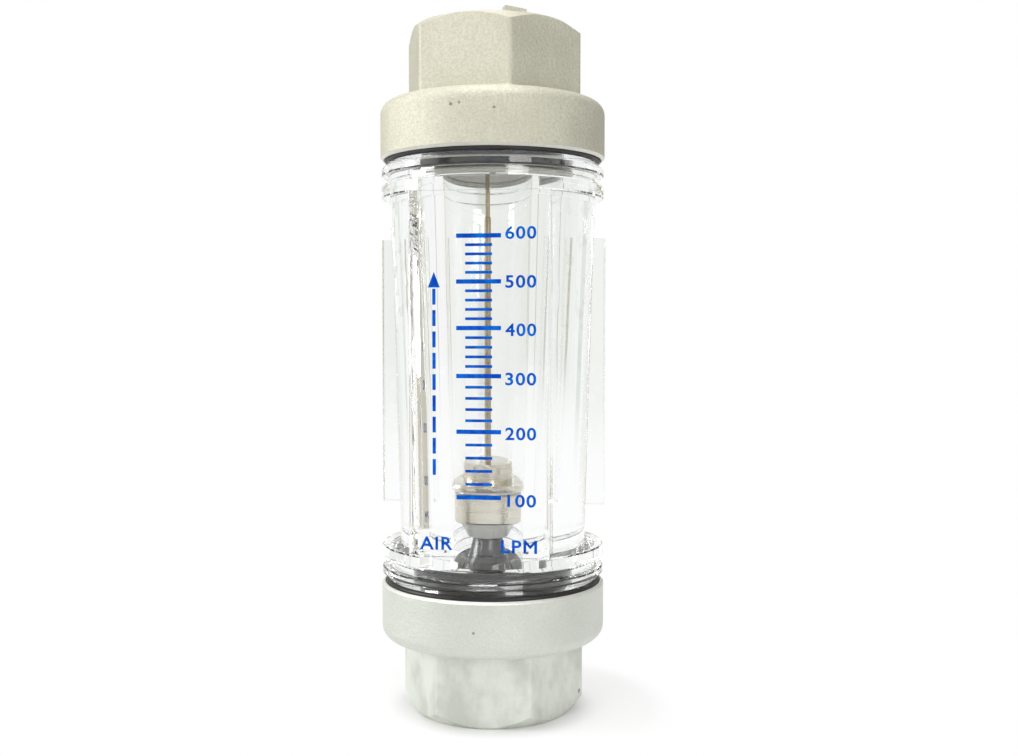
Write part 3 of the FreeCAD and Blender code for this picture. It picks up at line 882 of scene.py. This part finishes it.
# %% Colour of the room in a direction
def room_color(tree, direction):
    """Colour of the room in a direction, which may also be a place on the floor."""
    turned = tree.nodes.new("ShaderNodeVectorRotate")
    turned.rotation_type = "Z_AXIS"
    turned.inputs["Angle"].default_value = -camera_turn
    tree.links.new(direction, turned.inputs["Vector"])
    axes = tree.nodes.new("ShaderNodeSeparateXYZ")
    tree.links.new(turned.outputs["Vector"], axes.inputs[0])
    compass = calc(tree, "ARCTAN2", axes.outputs["X"], axes.outputs["Y"])
    share = calc(tree, "MULTIPLY_ADD", compass, 1 / (2 * math.pi), 0.5)
    ramp = tree.nodes.new("ShaderNodeValToRGB")
    elements = ramp.color_ramp.elements
    elements.remove(elements[1])
    elements[0].position = room_stops[0][0]
    elements[0].color = (*room_stops[0][1], 1)
    for position, color in room_stops[1:]:
        elements.new(position).color = (*color, 1)
    tree.links.new(share, ramp.inputs["Fac"])
    shade = 0.0
    for position, width, depth in uprights:
        apart = calc(tree, "ABSOLUTE", calc(tree, "SUBTRACT", share, position))
        shade = calc(tree, "MAXIMUM", shade, grade(tree, apart, width, width * 0.4, 0.0, depth))
    return blend(tree, shade, ramp.outputs["Color"], (0.08, 0.08, 0.07))


print("helper for the room")

# %% [markdown]
# ## Three views of one studio
# The camera should see plain white, clear plastic the room, and every other surface a soft dome
# that lights it. The Light Path node tells which kind of ray is asking, and mix shaders choose by
# its answer. The same choice is made in the world and again in the floor.


# %% Helpers for the studio
def mix_shaders(tree, factor, first, second):
    made = tree.nodes.new("ShaderNodeMixShader")
    tree.links.new(factor, made.inputs["Fac"])
    tree.links.new(first, made.inputs[1])
    tree.links.new(second, made.inputs[2])
    return made.outputs["Shader"]


def ray_kinds(tree):
    """Whether a ray comes from the camera, and whether clear plastic bent or mirrored it."""
    path = tree.nodes.new("ShaderNodeLightPath")
    in_plastic = calc(tree, "MAXIMUM", path.outputs["Is Transmission Ray"],
                      path.outputs["Is Singular Ray"])
    return path.outputs["Is Camera Ray"], in_plastic


print("helpers for the studio")

# %% [markdown]
# ## World
# A world can be one colour, a sky or a picture. Here it is a dome that is brighter overhead and a
# little brighter on the left, which is enough to model the castings softly, and the room for the
# plastic. The room fades to white towards the floor and nearly to white overhead, so that no edge
# shows there.

# %% World
world = bpy.data.worlds.new("studio")
scene.world = world
world.use_nodes = True
tree = world.node_tree
tree.nodes.clear()
direction = tree.nodes.new("ShaderNodeTexCoord").outputs["Generated"]
axes = tree.nodes.new("ShaderNodeSeparateXYZ")
tree.links.new(direction, axes.inputs[0])
up = axes.outputs["Z"]
room = room_color(tree, direction)
room = blend(tree, grade(tree, up, -0.06, -0.15), room, (1.0, 1.0, 1.0))
room = blend(tree, grade(tree, up, 0.45, 0.80), room, (0.95, 0.95, 0.95))
through = tree.nodes.new("ShaderNodeBackground")
tree.links.new(room, through.inputs["Color"])
dome_color = blend(tree, grade(tree, up, 0.10, 0.85), (0.52, 0.52, 0.49), (1.0, 1.0, 1.0))
dome = tree.nodes.new("ShaderNodeBackground")
tree.links.new(dome_color, dome.inputs["Color"])
tree.links.new(calc(tree, "MULTIPLY_ADD", axes.outputs["X"], -0.20, 0.80),
               dome.inputs["Strength"])
backdrop = tree.nodes.new("ShaderNodeBackground")
backdrop.inputs["Color"].default_value = (1, 1, 1, 1)
from_camera, in_plastic = ray_kinds(tree)
lit = mix_shaders(tree, in_plastic, dome.outputs["Background"], through.outputs["Background"])
lit = mix_shaders(tree, from_camera, lit, backdrop.outputs["Background"])
output = tree.nodes.new("ShaderNodeOutputWorld")
tree.links.new(lit, output.inputs["Surface"])
print("world of", len(tree.nodes), "nodes")

# %% [markdown]
# ## Floor
# The floor is a plain pale plane. Close to the meter's foot it is an ordinary surface, which keeps
# the soft shadow. Further out it glows a plain white, so that it runs into the backdrop without a
# horizon. A floor that glowed all over would leave the meter floating.

# %% Floor
shadow_core, shadow_edge, white_edge = 20.5 * mm, 29.0 * mm, 52.0 * mm
bpy.ops.mesh.primitive_plane_add(size=6.0, location=(0, 0, 0))
floor = bpy.context.object
floor.name = "floor"
material, tree, shader, place = new_material("white_floor")
shader.inputs["Base Color"].default_value = (0.90, 0.90, 0.90, 1)
shader.inputs["Roughness"].default_value = 0.6
away = tree.nodes.new("ShaderNodeVectorMath")
away.operation = "LENGTH"
tree.links.new(place, away.inputs[0])
distance = away.outputs["Value"]
white = tree.nodes.new("ShaderNodeEmission")
white.inputs["Color"].default_value = (1, 1, 1, 1)
beyond = tree.nodes.new("ShaderNodeEmission")
room = blend(tree, grade(tree, distance, 0.35, 1.4), (1.0, 1.0, 1.0), room_color(tree, place))
tree.links.new(room, beyond.inputs["Color"])
in_plastic = ray_kinds(tree)[1]
glow = mix_shaders(tree, in_plastic, white.outputs["Emission"], beyond.outputs["Emission"])
near = grade(tree, distance, shadow_core, shadow_edge, 0.0, 0.65)
far = grade(tree, distance, shadow_edge, white_edge, 0.0, 1.0)
surface = mix_shaders(tree, calc(tree, "MAXIMUM", near, far), shader.outputs["BSDF"], glow)
output = [n for n in tree.nodes if n.bl_idname == "ShaderNodeOutputMaterial"][0]
tree.links.new(surface, output.inputs["Surface"])
floor.data.materials.append(material)
print("floor white beyond", white_edge)

# %% [markdown]
# ## Lamps
# Three large square lamps give the castings their shape: one on the left, a weaker one on the
# right in front, and one overhead. Small lamps would be sharper and would leave hard shadows. Each
# lamp is turned to face the middle of the meter.


# %% Lamps
def lamp(name, place, size, power, color):
    data = bpy.data.lights.new(name, "AREA")
    data.shape = "SQUARE"
    data.size = size
    data.energy = power
    data.color = color
    made = bpy.data.objects.new(name, data)
    made.location = place
    aim = Vector((0, 0, 0.09)) - Vector(place)
    made.rotation_euler = aim.to_track_quat("-Z", "Y").to_euler()
    bpy.context.collection.objects.link(made)
    print(name, power, "W")


lamp("left_lamp", (-0.85, -0.16, 0.40), 0.35, 3.7, (1.0, 1.0, 0.98))
lamp("right_lamp", (0.50, -0.70, 0.35), 0.35, 2.1, (1.0, 0.99, 0.97))
lamp("top_lamp", (-0.05, -0.12, 0.95), 0.30, 3.8, (1.0, 1.0, 1.0))
